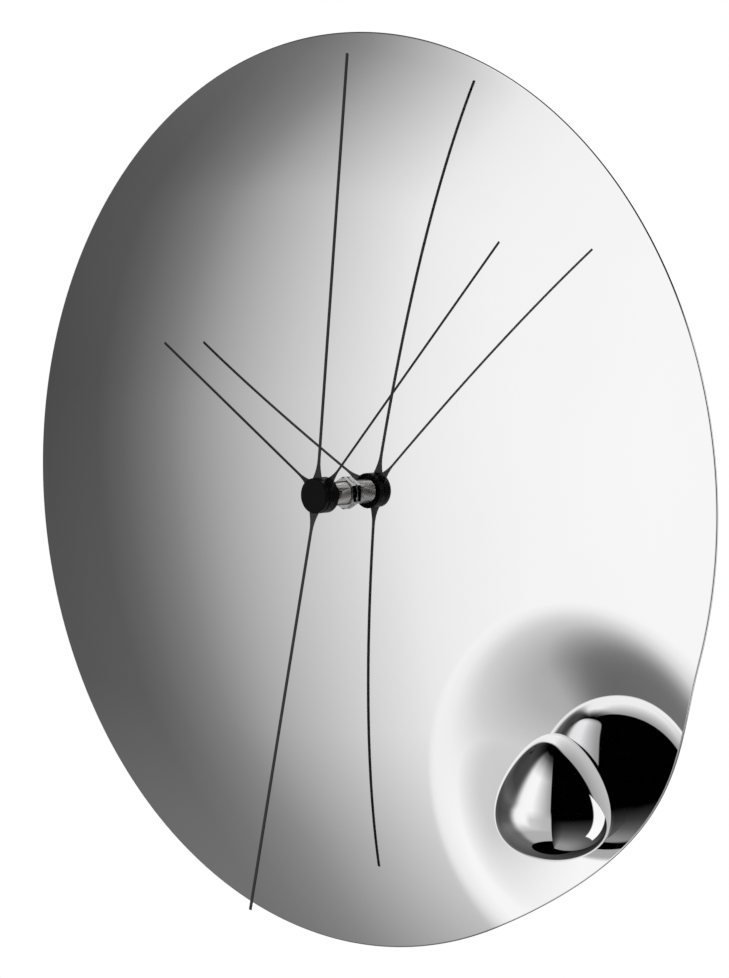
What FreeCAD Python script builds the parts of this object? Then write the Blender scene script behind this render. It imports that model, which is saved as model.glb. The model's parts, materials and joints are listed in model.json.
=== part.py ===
import FreeCAD, Part
import math
import os
from types import SimpleNamespace

import Sketcher
from FreeCAD import Placement, Rotation, Vector

# Round wall clock: a domed mirror dish with a crater and a pebble, three wire-thin hands
# and a battery movement behind the dish.
# Frame: +X right, +Z up, +Y into the wall. The origin is on the hands' axis, in the wall's plane.

# Driving dimensions in millimetres. A stand is a height in front of the dish's centre,
# a depth is counted towards the wall from the front of the movement's case.
SIZES = {
    # dish
    "dish_radius": 225.0,
    "dish_thick": 1.2,
    "dish_stand": 40.0,  # from the wall to the front of the dish's centre
    "dome_square": 10.97,  # fall at the rim that grows with the square of the radius
    "dome_fourth": 5.735,  # and with its fourth power
    "dish_bore": 6.2,
    # crater near the lower right edge of the dish
    "crater_inset": 25.5,  # from the rim to the crater's centre
    "crater_radius": 95.0,
    "crater_depth": 19.0,  # below the dome at its centre
    # pebble that rests in the crater; its place is given from the crater's centre
    "pebble_left": 15.6,
    "pebble_low": 3.4,
    "pebble_sink": 8.0,  # from the level of the dish's centre back to the pebble's axis
    "pebble_half_height": 31.1,
    "pebble_radius": 28.1,  # half way up
    "pebble_taper": 7.5,  # how much the radius loses towards the top
    "pebble_wall": 1.2,
    # plug in the pebble's opening and the stud that holds it to the dish
    "plug_thick": 8.0,
    "stud_radius": 2.5,
    "stud_grip": 6.0,  # thread inside the plug
    "stud_tail": 8.0,  # thread behind the dish's front
    "stud_hole": 2.8,
    "spacer_radius": 6.0,
    "spacer_thick": 2.4,  # at its middle; its front follows the dish's back
    "stud_nut_flats": 8.0,
    "stud_nut_thick": 3.2,
    # hands and hubs
    "plate_thick": 0.4,
    "hand_seat": 0.05,
    "hour_stand": 18.0,
    "minute_stand": 19.1,
    "second_stand": 22.0,
    "hub_radius": 8.8,
    "second_hub_radius": 8.6,
    "cap_front": 24.1,
    "cap_edge": 0.5,
    "cap_socket": 1.0,
    "cup_mouth": 15.0,
    "cup_wall": 0.8,
    "cup_web": 1.0,
    "minute_hub_thick": 2.0,
    "flare_half_width": 3.4,
    "flare_inset": 1.1,  # how far the arm's root lies inside the hub's edge
    "flare_length": 11.0,
    "second_length": 220.5,
    "second_tail": 208.0,
    "second_half_width": 0.8,
    "second_rise": 13.6,  # how far the tip of an arm stands forward of its hub
    "minute_length": 182.5,
    "minute_half_width": 0.55,
    "minute_rise": 11.2,
    "hour_length": 134.0,
    "hour_half_width": 0.62,
    "hour_fall": 9.3,
    # tubes and shafts on the hands' axis
    "run_gap": 0.05,
    "second_shaft": 0.8,
    "minute_tube": 1.7,
    "hour_tube": 2.6,
    # threaded bushing with its nut and seals
    "bushing_radius": 5.9,
    "bushing_front": 15.5,
    "nut_flats": 14.0,
    "nut_thick": 2.3,
    "nut_edge": 0.35,
    "washer_radius": 7.4,
    "washer_thick": 0.6,
    "seat_gap": 0.05,
    "gasket_radius": 14.0,
    "gasket_thick": 1.0,
    # movement case
    "case_half": 28.5,
    "case_wall": 1.2,
    "case_depth": 16.6,  # up to the rear cover
    "cover_thick": 1.4,
    "case_corner": 3.0,
    "bay_wall_top": 11.0,
    "bay_wall_thick": 1.0,
    "post_radius": 1.5,
    "left_post_x": -18.0,
    "right_post_x": 18.0,
    "high_post_z": 8.4,
    "low_post_x": 14.0,
    "low_post_z": -16.0,
    # train bridge
    "bridge_depth": 4.6,
    "bridge_thick": 1.0,
    "bridge_half": 19.8,
    "bridge_top": 9.7,
    "bridge_bottom": -18.6,
    # gear positions, as distances from the hands' axis or from the wheel before
    "third_distance": 9.9,
    "setting_distance": 10.4,
    "step_distance": 10.0,
    "rotor_distance": 6.8,
    # gear levels and thicknesses
    "hour_level": 1.8,
    "motion_level": 3.2,
    "centre_level": 6.0,
    "third_level": 7.4,
    "second_level": 9.0,
    "step_level": 10.4,
    "wheel_thick": 0.8,
    "pinion_over": 0.2,
    "arbor_radius": 0.5,
    "pivot_radius": 0.35,
    "pivot_length": 0.6,
    "setting_shaft": 0.8,
    "bearing_radius": 1.0,
    # rotor and stator
    "magnet_radius": 2.8,
    "magnet_level": 11.6,
    "magnet_thick": 2.0,
    "stator_level": 12.0,
    "stator_thick": 1.0,
    "stator_bore": 3.2,
    "stator_half": 16.0,
    "stator_bar_half": 3.8,
    "stator_leg": 4.0,
    "coil_z": -23.3,
    "core_half_height": 1.6,
    "coil_half_length": 11.0,
    "bobbin_gap": 0.1,
    "bobbin_wall": 0.3,
    "flange_half": 2.5,
    "flange_thick": 0.8,
    "winding_half": 2.3,
    # battery and contacts
    "battery_radius": 7.25,
    "battery_half_length": 24.8,
    "battery_z": 18.5,
    "battery_depth": 8.9,
    "button_radius": 2.75,
    "button_length": 0.9,
    "contact_thick": 0.4,
    "contact_half_width": 4.0,
    "contact_height": 12.0,
    "window_half": 26.0,
    "window_low": 11.4,
    "window_high": 25.6,
    # circuit
    "board_left": 13.6,
    "board_right": 26.4,
    "board_low": -12.0,
    "board_high": 9.6,
    "board_level": 14.2,
    "board_thick": 1.0,
    "chip_half": 3.0,
    "chip_thick": 1.4,
    "chip_z": 3.5,
    "crystal_radius": 1.4,
    "crystal_half": 3.5,
    "crystal_z": -7.0,
    # setting knob
    "knob_radius": 5.0,
    "knob_gap": 0.4,
    "knob_thick": 3.0,
    "knob_notch": 0.4,
    # hanger bracket on the back of the dish
    "sheet_thick": 1.5,
    "hanger_half": 38.0,
    "hanger_low": -34.0,
    "hanger_high": 58.0,
    "hanger_window_half": 28.0,
    "hanger_window_low": -22.0,
    "hanger_window_high": 30.0,
    "hanger_step_x": 3.0,  # the window spares a corner of the plate, behind the hands' axis
    "hanger_step_z": 10.0,
    "foot_reach": 20.0,
    "foot_half_height": 28.0,
    "foot_gap": 0.05,
    "keyhole_x": 25.0,
    "keyhole_z": 42.0,
    "keyhole_radius": 4.5,
    "keyhole_slot": 2.1,
    "keyhole_rise": 8.0,
    "fix_x": 48.0,
    "fix_z": 18.0,
    "fix_radius": 2.0,
    "fix_hole": 2.25,
    "fix_tail": 5.4,  # thread behind the foot's front face
    "fix_nut_flats": 7.0,
    "fix_nut_thick": 3.2,
}

# Angles in degrees, clockwise from twelve as seen from the front.
SECOND_ANGLE = 8.73
MINUTE_ANGLE = 44.43
HOUR_ANGLE = 300.75
CRATER_ANGLE = 133.4

# Numbers of teeth.
SECOND_PINION_TEETH = 8
THIRD_WHEEL_TEETH = 64
THIRD_PINION_TEETH = 8
CENTRE_WHEEL_TEETH = 60
CANNON_TEETH = 12
SETTING_WHEEL_TEETH = 36
SETTING_PINION_TEETH = 10
HOUR_WHEEL_TEETH = 40
SECOND_WHEEL_TEETH = 32
STEP_PINION_TEETH = 8
STEP_WHEEL_TEETH = 60
ROTOR_PINION_TEETH = 8
KNOB_NOTCHES = 24

# Tooth shapes as shares of the module: height above and below the pitch circle, and thickness.
WHEEL_TOOTH_SHARES = (1.05, 1.0, 1.35)
PINION_TOOTH_SHARES = (0.65, 1.4, 1.0)

doc = FreeCAD.newDocument("WallClock")
sheet = doc.addObject("Spreadsheet::Sheet", "Sizes")
pieces = []


class Size:
    """A length and the expression that works it out from the sheet's cells."""

    def __init__(self, value, text):
        self.value = float(value)
        self.text = text

    def combined(self, sign, other, value):
        return Size(value, f"({self.text} {sign} {wording(other)})")

    def __add__(self, other):
        return self.combined("+", other, self.value + amount(other))

    def __sub__(self, other):
        return self.combined("-", other, self.value - amount(other))

    def __mul__(self, other):
        return self.combined("*", other, self.value * amount(other))

    def __truediv__(self, other):
        return self.combined("/", other, self.value / amount(other))

    def __neg__(self):
        return Size(-self.value, f"(0 - {self.text})")


def amount(length):
    return length.value if isinstance(length, Size) else float(length)


def wording(length):
    return length.text if isinstance(length, Size) else f"{length:.10f}"


def fill_sheet():
    """One row for each driving dimension: its name and its number, with the name as alias."""
    named = {}
    for row, (name, value) in enumerate(SIZES.items(), start=1):
        sheet.set(f"A{row}", name)
        sheet.set(f"B{row}", str(value))
        sheet.setAlias(f"B{row}", name)
        named[name] = Size(value, f"Sizes.{name}")
    doc.recompute()
    return SimpleNamespace(**named)


S = fill_sheet()
ZERO = Size(0, "0")


def bind(thing, prop, length):
    """Ties a property to the sheet, or sets it where no size drives it."""
    thing.setExpression(prop, wording(length))


def keep(thing, label):
    """Names a finished piece and puts it on the list that is written out."""
    thing.Label = label
    pieces.append(thing)
    return thing


def move(thing, x=ZERO, y=ZERO, z=ZERO):
    for axis, length in zip("xyz", (x, y, z)):
        if wording(length) != "0":
            bind(thing, f"Placement.Base.{axis}", length)


def origin_plane(body, role):
    return next(f for f in body.Origin.OriginFeatures if f.Role == role)


def pin_point(sketch, geometry, end, x, y):
    """Fixes a sketch point at two bound coordinates."""
    for kind, axis, length in (("DistanceX", -2, x), ("DistanceY", -1, y)):
        if wording(length) == "0":
            sketch.addConstraint(Sketcher.Constraint("PointOnObject", geometry, end, axis))
            continue
        number = sketch.addConstraint(Sketcher.Constraint(kind, geometry, end, amount(length)))
        sketch.setExpression(f"Constraints[{number}]", wording(length))


def draw_loop(sketch, points):
    """A closed run of straight lines through bound points."""
    first = sketch.GeometryCount
    spots = [Vector(amount(x), amount(y), 0) for x, y in points]
    for start, end in zip(spots, spots[1:] + spots[:1]):
        sketch.addGeometry(Part.LineSegment(start, end), False)
    for step, (x, y) in enumerate(points):
        before = first + (step - 1) % len(points)
        sketch.addConstraint(Sketcher.Constraint("Coincident", before, 2, first + step, 1))
        pin_point(sketch, first + step, 1, x, y)


def draw_circle(sketch, x, y, radius):
    number = sketch.addGeometry(
        Part.Circle(Vector(amount(x), amount(y), 0), Vector(0, 0, 1), amount(radius)), False
    )
    pin_point(sketch, number, 3, x, y)
    limit = sketch.addConstraint(Sketcher.Constraint("Radius", number, amount(radius)))
    sketch.setExpression(f"Constraints[{limit}]", wording(radius))


def new_sketch(body, plane):
    sketch = body.newObject("Sketcher::SketchObject", "Sketch")
    sketch.AttachmentSupport = (origin_plane(body, plane), "")
    sketch.MapMode = "FlatFace"
    return sketch


def turned(label, profile, x=ZERO, z=ZERO):
    """A piece turned about a line along Y, from its half section in radius and Y."""
    body = doc.addObject("PartDesign::Body", "Turned")
    sketch = new_sketch(body, "XY_Plane")
    draw_loop(sketch, profile)
    turn = body.newObject("PartDesign::Revolution", "Revolution")
    turn.Profile = sketch
    turn.ReferenceAxis = (sketch, ["V_Axis"])
    turn.Angle = 360
    move(body, x=x, z=z)
    return keep(body, label)


def ring(inner, outer, front, back):
    """Half section of a ring or, with no inner radius, of a disc."""
    return [(inner, front), (outer, front), (outer, back), (inner, back)]


def padded(outlines, circles, front, thick):
    """A flat body parallel to the wall, with outlines and round holes in X and Z."""
    body = doc.addObject("PartDesign::Body", "Plate")
    sketch = new_sketch(body, "XZ_Plane")
    for points in outlines:
        draw_loop(sketch, points)
    for x, z, radius in circles:
        draw_circle(sketch, x, z, radius)
    pad = body.newObject("PartDesign::Pad", "Pad")
    pad.Profile = sketch
    bind(pad, "Length", thick)
    move(body, y=front + thick)
    return body


def plate(label, outlines, circles, front, thick):
    return keep(padded(outlines, circles, front, thick), label)


def rectangle(left, right, low, high):
    return [(left, low), (right, low), (right, high), (left, high)]


def hexagon(flats, x=ZERO, z=ZERO):
    """Corners of a hexagon with two flats facing left and right."""
    half = flats / 2
    corner = flats / math.sqrt(3)
    return [
        (x, z + corner),
        (x - half, z + corner / 2),
        (x - half, z - corner / 2),
        (x, z - corner),
        (x + half, z - corner / 2),
        (x + half, z + corner / 2),
    ]


def rod(radius, front, back, x=ZERO, z=ZERO):
    """A plain cylinder along Y, for booleans."""
    shaft = doc.addObject("Part::Cylinder", "Rod")
    shaft.Placement.Rotation = Rotation(Vector(1, 0, 0), -90)
    bind(shaft, "Radius", radius)
    bind(shaft, "Height", back - front)
    move(shaft, x, front, z)
    return shaft


def block(left, right, front, back, low, high):
    solid = doc.addObject("Part::Box", "Block")
    bind(solid, "Length", right - left)
    bind(solid, "Width", back - front)
    bind(solid, "Height", high - low)
    move(solid, left, front, low)
    return solid


def joined(things):
    fusion = doc.addObject("Part::MultiFuse", "Joined")
    fusion.Shapes = things
    return fusion


def less(base, tools):
    tool = tools[0] if len(tools) == 1 else joined(tools)
    difference = doc.addObject("Part::Cut", "Less")
    difference.Base = base
    difference.Tool = tool
    return difference


def rounded(base, radius, chosen):
    """Rounds the edges of a finished shape that the test picks."""
    doc.recompute()
    numbers = [n for n, edge in enumerate(base.Shape.Edges, start=1) if chosen(edge)]
    fillet = doc.addObject("Part::Fillet", "Rounded")
    fillet.Base = base
    fillet.Edges = [(n, amount(radius), amount(radius)) for n in numbers]
    return fillet


def formed(shape, label, place=Placement()):
    """A piece whose shape is built directly."""
    feature = doc.addObject("Part::Feature", "Formed")
    feature.Shape = shape
    feature.Placement = place
    return keep(feature, label)


# Levels along Y.
DISH_FRONT = -S.dish_stand
CASE_FRONT = DISH_FRONT + S.dish_thick + S.seat_gap + S.gasket_thick


def ahead(stand):
    return DISH_FRONT - stand


def inside(depth):
    return CASE_FRONT + depth


# Dish: a domed sheet with a crater, cut out by the rim.
SURFACE_LINES = 61
SURFACE_OVERHANG_SHARE = 1.04
PLAIN = SimpleNamespace(**SIZES)


def crater_centre(sizes):
    reach = sizes.dish_radius - sizes.crater_inset
    angle = math.radians(CRATER_ANGLE)
    return reach * math.sin(angle), reach * math.cos(angle)


def surface_depth(x, z, sizes):
    """Depth of the dish's front behind its centre, in plain numbers or in bound sizes."""
    share = (x * x + z * z) / (sizes.dish_radius * sizes.dish_radius)
    fall = sizes.dome_square * share + sizes.dome_fourth * share * share
    crater_x, crater_z = crater_centre(sizes)
    east = x - crater_x
    north = z - crater_z
    reach = (east * east + north * north) / (sizes.crater_radius * sizes.crater_radius)
    if amount(reach) >= 1:
        return fall
    rest = -reach + 1
    return fall + sizes.crater_depth * rest * rest


def dish_block(thick):
    """The space within the given thickness behind the dish's front, with a square outline."""
    half = PLAIN.dish_radius * SURFACE_OVERHANG_SHARE
    places = [half * (2 * n / (SURFACE_LINES - 1) - 1) for n in range(SURFACE_LINES)]
    centre = DISH_FRONT.value
    grid = [
        [Vector(x, centre + surface_depth(x, z, PLAIN), z) for z in places] for x in places
    ]
    surface = Part.BSplineSurface()
    surface.interpolate(grid)
    return surface.toShape().extrude(Vector(0, thick, 0))


def straight_rod(radius, front, back, x=0, z=0):
    return Part.makeCylinder(radius, back - front, Vector(x, front, z), Vector(0, 1, 0))


def pebble_place():
    crater_x, crater_z = crater_centre(S)
    return crater_x - S.pebble_left, crater_z - S.pebble_low


def pebble_floor():
    """Y of the dish's front on the line of the pebble's stud."""
    return DISH_FRONT + surface_depth(*pebble_place(), S)


def make_dish():
    wall = 2 * S.dish_stand.value
    sheet_metal = dish_block(S.dish_thick.value)
    outline = straight_rod(S.dish_radius.value, -wall, 0)
    bore = straight_rod(S.dish_bore.value, -wall, 0)
    x, z = pebble_place()
    hole = straight_rod(S.stud_hole.value, -wall, 0, x.value, z.value)
    solid = sheet_metal.common(outline).cut(bore).cut(hole).Solids[0]
    formed(solid, "dish")


# Pebble: a hollow egg with its narrow end up, round in plan and open where it rests in the crater.
PEBBLE_STEPS = 16


def egg(radius, taper, half_height):
    points = []
    for step in range(PEBBLE_STEPS + 1):
        height = -math.cos(math.pi * step / PEBBLE_STEPS)
        width = math.sqrt(max(0, 1 - height**2)) * (radius - taper * height)
        points.append(Vector(width, 0, half_height * height))
    curve = Part.BSplineCurve()
    curve.interpolate(points, InitialTangent=Vector(1, 0, 0), FinalTangent=Vector(-1, 0, 0))
    edge = curve.toShape()
    halves = [edge.revolve(Vector(0, 0, 0), Vector(0, 0, 1), side) for side in (180, -180)]
    skin = Part.makeShell([half.Faces[0] for half in halves])
    skin.sewShape()
    solid = Part.makeSolid(skin)
    if solid.Volume < 0:
        solid.reverse()
    return solid


def largest(shape):
    return max(shape.Solids, key=lambda solid: solid.Volume)


def make_pebble():
    x, z = pebble_place()
    place = Vector(x.value, DISH_FRONT.value + S.pebble_sink.value, z.value)
    wall = S.pebble_wall.value
    radius = S.pebble_radius.value
    height = S.pebble_half_height.value
    outer = egg(radius, S.pebble_taper.value, height)
    inner = egg(radius - wall, S.pebble_taper.value, height - wall)
    outer.translate(place)
    inner.translate(place)
    behind = dish_block(S.dish_stand.value)
    formed(largest(outer.cut(inner).cut(behind)), "pebble_shell")
    floor = pebble_floor().value
    plug_room = straight_rod(radius, floor - S.plug_thick.value, 0, x.value, z.value)
    thread = straight_rod(S.stud_radius.value, floor - S.stud_grip.value, 0, x.value, z.value)
    plug = largest(inner.common(plug_room).cut(behind).cut(thread))
    formed(plug, "pebble_plug")


def make_pebble_fastener():
    """A stud through the dish, with a spacer that follows the dish's back and a nut."""
    x, z = pebble_place()
    floor = pebble_floor()
    spacer_back = floor + S.dish_thick + S.spacer_thick
    stud = ring(ZERO, S.stud_radius, floor - S.stud_grip, floor + S.stud_tail)
    turned("pebble_stud", stud, x, z)
    ends = (DISH_FRONT.value, spacer_back.value, x.value, z.value)
    blank = straight_rod(S.spacer_radius.value, *ends)
    bore = straight_rod(S.stud_hole.value, *ends)
    back_space = dish_block(S.dish_stand.value)
    back_space.translate(Vector(0, S.dish_thick.value, 0))
    formed(largest(blank.common(back_space).cut(bore)), "stud_spacer")
    plate(
        "pebble_nut",
        [hexagon(S.stud_nut_flats, x, z)],
        [(x, z, S.stud_radius)],
        spacer_back,
        S.stud_nut_thick,
    )


# Hands: a hub disc with flared arms that are bent out of its plane at their roots.
def arm(half_width, length, rise, hub_radius, clock_angle, stand):
    """One arm, drawn along its own Y from the bend at its root."""
    root = hub_radius - S.flare_inset
    reach = length - root
    sketch = doc.addObject("Sketcher::SketchObject", "ArmSketch")
    spots = [
        (-S.flare_half_width, ZERO),
        (S.flare_half_width, ZERO),
        (half_width, S.flare_length),
        (half_width, reach),
        (-half_width, reach),
        (-half_width, S.flare_length),
    ]
    corners = [Vector(amount(x), amount(y), 0) for x, y in spots]
    bulge = S.flare_half_width.value - half_width.value
    bow = (bulge**2 + S.flare_length.value**2) / (2 * bulge)
    turn = math.asin(S.flare_length.value / bow)
    middle_x = half_width.value + bow * (1 - math.cos(turn / 2))
    middle_y = S.flare_length.value - bow * math.sin(turn / 2)
    edges = [
        Part.LineSegment(corners[0], corners[1]),
        Part.Arc(corners[1], Vector(middle_x, middle_y, 0), corners[2]),
        Part.LineSegment(corners[2], corners[3]),
        Part.LineSegment(corners[3], corners[4]),
        Part.LineSegment(corners[4], corners[5]),
        Part.Arc(corners[5], Vector(-middle_x, middle_y, 0), corners[0]),
    ]
    sketch.addGeometry(edges, False)
    ends = {}
    for number, edge in enumerate(edges):
        for spot in (1, 2):
            point = sketch.getPoint(number, spot)
            nearest = min(range(len(corners)), key=lambda k: point.distanceToPoint(corners[k]))
            ends.setdefault(nearest, []).append((number, spot))
    for corner, ((line, line_end), (other, other_end)) in sorted(ends.items()):
        sketch.addConstraint(Sketcher.Constraint("Coincident", line, line_end, other, other_end))
        pin_point(sketch, line, line_end, *spots[corner])
    for curve in (1, 5):
        limit = sketch.addConstraint(Sketcher.Constraint("Radius", curve, bow))
        side = S.flare_half_width - half_width
        bound = (side * side + S.flare_length * S.flare_length) / (side * 2)
        sketch.setExpression(f"Constraints[{limit}]", wording(bound))
    angle = math.radians(clock_angle)
    outward = Vector(math.sin(angle), 0, math.cos(angle))
    forward = Vector(0, -1, 0)
    lean = math.atan2(rise.value, reach.value)
    along = outward * math.cos(lean) + forward * math.sin(lean)
    up = forward * math.cos(lean) - outward * math.sin(lean)
    across = along.cross(up)
    blade = doc.addObject("Part::Extrusion", "Arm")
    blade.Base = sketch
    blade.DirMode = "Custom"
    blade.Dir = Vector(0, 0, 1)
    blade.Solid = True
    blade.Symmetric = True
    bind(blade, "LengthFwd", S.plate_thick)
    base = outward * root.value + Vector(0, ahead(stand).value, 0)
    blade.Placement = Placement(base, Rotation(across, along, up, "ZXY"))
    return blade


def make_hand(label, arms, hub_radius, bore, stand):
    """A hand of one or two arms; each arm is given by half width, length, rise and angle."""
    front = ahead(stand) - S.plate_thick / 2
    disc = rod(hub_radius, front, front + S.plate_thick)
    blades = [arm(*shape, hub_radius, angle, stand) for *shape, angle in arms]
    whole = joined([disc] + blades)
    keep(less(whole, [rod(bore, front - S.plate_thick, front + S.plate_thick * 2)]), label)


def make_hands():
    second = (S.second_half_width, S.second_length, S.second_rise, SECOND_ANGLE)
    tail = (S.second_half_width, S.second_tail, S.second_rise, SECOND_ANGLE + 180)
    minute = (S.minute_half_width, S.minute_length, S.minute_rise, MINUTE_ANGLE)
    hour = (S.hour_half_width, S.hour_length, -S.hour_fall, HOUR_ANGLE)
    make_hand(
        "second_hand", [second, tail], S.second_hub_radius, S.second_shaft, S.second_stand
    )
    make_hand("minute_hand", [minute], S.hub_radius, S.minute_tube, S.minute_stand)
    make_hand("hour_hand", [hour], S.hub_radius, S.hour_tube, S.hour_stand)


def make_hubs():
    half_plate = S.plate_thick / 2
    cap_back = ahead(S.second_stand + half_plate + S.hand_seat)
    cap_front = ahead(S.cap_front)
    turned(
        "second_cap",
        [
            (S.second_shaft, cap_back),
            (S.second_hub_radius, cap_back),
            (S.second_hub_radius, cap_front + S.cap_edge),
            (S.second_hub_radius - S.cap_edge, cap_front),
            (ZERO, cap_front),
            (ZERO, cap_back - S.cap_socket),
            (S.second_shaft, cap_back - S.cap_socket),
        ],
    )
    hub_back = ahead(S.minute_stand + half_plate + S.hand_seat)
    turned(
        "minute_hub",
        ring(S.minute_tube, S.hub_radius, hub_back - S.minute_hub_thick, hub_back),
    )
    cup_front = ahead(S.hour_stand - half_plate - S.hand_seat)
    cup_inner = S.hub_radius - S.cup_wall
    turned(
        "hour_hub",
        [
            (S.hour_tube, cup_front),
            (S.hub_radius, cup_front),
            (S.hub_radius, ahead(S.cup_mouth)),
            (cup_inner, ahead(S.cup_mouth)),
            (cup_inner, cup_front + S.cup_web),
            (S.hour_tube, cup_front + S.cup_web),
        ],
    )


def make_bushing():
    bore = S.hour_tube + S.run_gap
    inner_end = inside(S.case_wall)
    turned("bushing", ring(bore, S.bushing_radius, ahead(S.bushing_front), inner_end))
    washer_front = ahead(S.washer_thick)
    hole = S.bushing_radius + S.run_gap
    turned("nut_washer", ring(hole, S.washer_radius, washer_front, DISH_FRONT))
    nut_front = washer_front - S.nut_thick
    prism = padded([hexagon(S.nut_flats)], [(ZERO, ZERO, hole)], nut_front, S.nut_thick)
    corner = S.nut_flats / math.sqrt(3)
    blank = doc.addObject("Part::Cone", "NutBlank")
    blank.Placement.Rotation = Rotation(Vector(1, 0, 0), -90)
    bind(blank, "Radius1", corner - S.nut_edge * 2)
    bind(blank, "Radius2", corner - S.nut_edge * 2 + S.nut_thick * 2)
    bind(blank, "Height", S.nut_thick)
    move(blank, y=nut_front)
    shaped = doc.addObject("Part::Common", "Chamfered")
    shaped.Base = prism
    shaped.Tool = blank
    keep(shaped, "central_nut")
    gasket_front = DISH_FRONT + S.dish_thick + S.seat_gap
    turned(
        "rubber_gasket", ring(S.dish_bore, S.gasket_radius, gasket_front, CASE_FRONT)
    )


# Gears: radial flanks up to the pitch circle and pointed arches above it.
ARCH_SHARES = ((0.6, 0.72), (1.0, 0.2))


def toothed(teeth, module, shares, bore, front, thick, aim):
    """A toothed disc about the Y axis with a tooth, or half a pitch off it, at the aim angle."""
    head, foot, width = shares
    pitch = teeth * module / 2
    half = width * module / 2 / pitch
    side = [(pitch - foot * module, 1.0), (pitch, 1.0)]
    side += [(pitch + head * module * rise, share) for rise, share in ARCH_SHARES]
    outline = [(r, -share) for r, share in side] + [(r, share) for r, share in side[::-1]]
    points = []
    for tooth in range(teeth):
        middle = aim + 2 * math.pi * tooth / teeth
        for r, share in outline:
            angle = middle + share * half
            points.append(Vector(r * math.cos(angle), front, r * math.sin(angle)))
    blank = Part.Face(Part.makePolygon(points + points[:1])).extrude(Vector(0, thick, 0))
    return blank.cut(straight_rod(bore, front - thick, front + thick * 2)) if bore else blank


TO_RIGHT = 0.0
TO_LEFT = math.pi
DOWN = -math.pi / 2


def gear(teeth, module, shares, bore, level, thick, aim, gap_to_partner):
    """Solid of a gear at its level; a gap instead of a tooth can face its partner."""
    turn = math.pi / teeth if gap_to_partner else 0.0
    return toothed(
        teeth, module, shares, bore.value, inside(level).value, thick.value, aim + turn
    )


def at(solid, label, x=ZERO, z=ZERO):
    formed(solid, label, Placement(Vector(x.value, 0, z.value), Rotation()))


def shaft_steps(steps):
    """Half section of a solid stepped shaft, from pairs of radius and end along Y."""
    front, stretches = steps
    section = [(ZERO, front)]
    previous = front
    for radius, end in stretches:
        section += [(radius, previous), (radius, end)]
        previous = end
    return section + [(ZERO, previous)]


def pinion_arbor(label, stretches, front, pinion, x=ZERO, z=ZERO):
    """A stepped shaft with its leaves cut in one piece with it."""
    section = [(amount(r), amount(y)) for r, y in shaft_steps((front, stretches))]
    points = [Vector(r, y, 0) for r, y in section]
    face = Part.Face(Part.makePolygon(points + points[:1]))
    shaft = face.revolve(Vector(0, 0, 0), Vector(0, 1, 0), 360)
    at(shaft.fuse(pinion).removeSplitter(), label, x, z)


def module_of(distance, first, second):
    return 2 * distance.value / (first + second)


def make_hand_arbors():
    """The pieces on the hands' axis: seconds shaft, minute tube and hour tube with wheels."""
    third = module_of(S.third_distance, THIRD_WHEEL_TEETH, SECOND_PINION_TEETH)
    centre = module_of(S.third_distance, CENTRE_WHEEL_TEETH, THIRD_PINION_TEETH)
    step = module_of(S.step_distance, SECOND_WHEEL_TEETH, STEP_PINION_TEETH)
    motion = module_of(S.setting_distance, SETTING_WHEEL_TEETH, CANNON_TEETH)
    hour = module_of(S.setting_distance, HOUR_WHEEL_TEETH, SETTING_PINION_TEETH)
    pinion_thick = S.wheel_thick + S.pinion_over * 2
    no_bore = ZERO
    second_pinion = gear(
        SECOND_PINION_TEETH, third, PINION_TOOTH_SHARES, no_bore,
        S.third_level - S.pinion_over, pinion_thick, TO_LEFT, True,
    )
    wheel_back = S.second_level + S.wheel_thick
    pinion_arbor(
        "second_arbor",
        [
            (S.second_shaft - S.run_gap, inside(S.third_level - S.pinion_over)),
            (S.arbor_radius, inside(wheel_back + S.pinion_over)),
            (S.pivot_radius, inside(wheel_back + S.pinion_over + S.pivot_length * 2)),
        ],
        ahead(S.second_stand + S.plate_thick / 2 + S.hand_seat + S.cap_socket),
        second_pinion,
    )
    at(
        gear(
            SECOND_WHEEL_TEETH, step, WHEEL_TOOTH_SHARES, S.arbor_radius,
            S.second_level, S.wheel_thick, DOWN, False,
        ),
        "second_wheel",
    )
    cannon = gear(
        CANNON_TEETH, motion, PINION_TOOTH_SHARES, S.second_shaft + S.run_gap,
        S.motion_level - S.pinion_over, pinion_thick, TO_RIGHT, True,
    )
    hub_front = ahead(S.minute_stand + S.plate_thick / 2 + S.hand_seat + S.minute_hub_thick)
    tube_back = inside(S.centre_level + S.wheel_thick)
    tube = straight_rod(S.minute_tube.value, hub_front.value, tube_back.value)
    bore = straight_rod(
        S.second_shaft.value + S.run_gap.value, hub_front.value, tube_back.value
    )
    at(tube.cut(bore).fuse(cannon).removeSplitter(), "minute_arbor")
    at(
        gear(
            CENTRE_WHEEL_TEETH, centre, WHEEL_TOOTH_SHARES, S.minute_tube,
            S.centre_level, S.wheel_thick, TO_LEFT, False,
        ),
        "centre_wheel",
    )
    hour_back = inside(S.hour_level + S.wheel_thick)
    hour_front = ahead(S.hour_stand + S.plate_thick / 2)
    turned(
        "hour_tube",
        ring(S.minute_tube + S.run_gap, S.hour_tube, hour_front, hour_back),
    )
    at(
        gear(
            HOUR_WHEEL_TEETH, hour, WHEEL_TOOTH_SHARES, S.hour_tube,
            S.hour_level, S.wheel_thick, TO_RIGHT, False,
        ),
        "hour_wheel",
    )


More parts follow.
